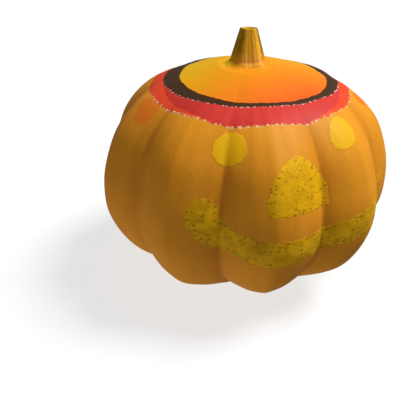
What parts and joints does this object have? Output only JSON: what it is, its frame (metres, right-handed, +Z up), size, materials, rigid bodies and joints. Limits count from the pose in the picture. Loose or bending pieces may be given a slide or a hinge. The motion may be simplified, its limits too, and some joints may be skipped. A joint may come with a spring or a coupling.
{
  "type": "pumpkin",
  "caption": "Whole ribbed orange pumpkin with a short flared stem, a painted smiling face and painted rings round the top; it stands on a small flat spot.",
  "frame": {"origin": "centre of the small flat spot that the fruit rests on, on the axis of the stem", "axes": "+Z up along the stem, -Y towards the front of the painted face, +X to the right as seen from the front"},
  "size_m": [0.2547, 0.2561, 0.2255],
  "materials": {
    "pumpkin_skin": "satin waxy skin with painted face and rings",
    "woody_stem": "dry ridged woody stem"
  },
  "bodies": {
    "root": {"pumpkin_fruit": "pumpkin_skin", "pumpkin_stem": "woody_stem"}
  },
  "joints": []
}
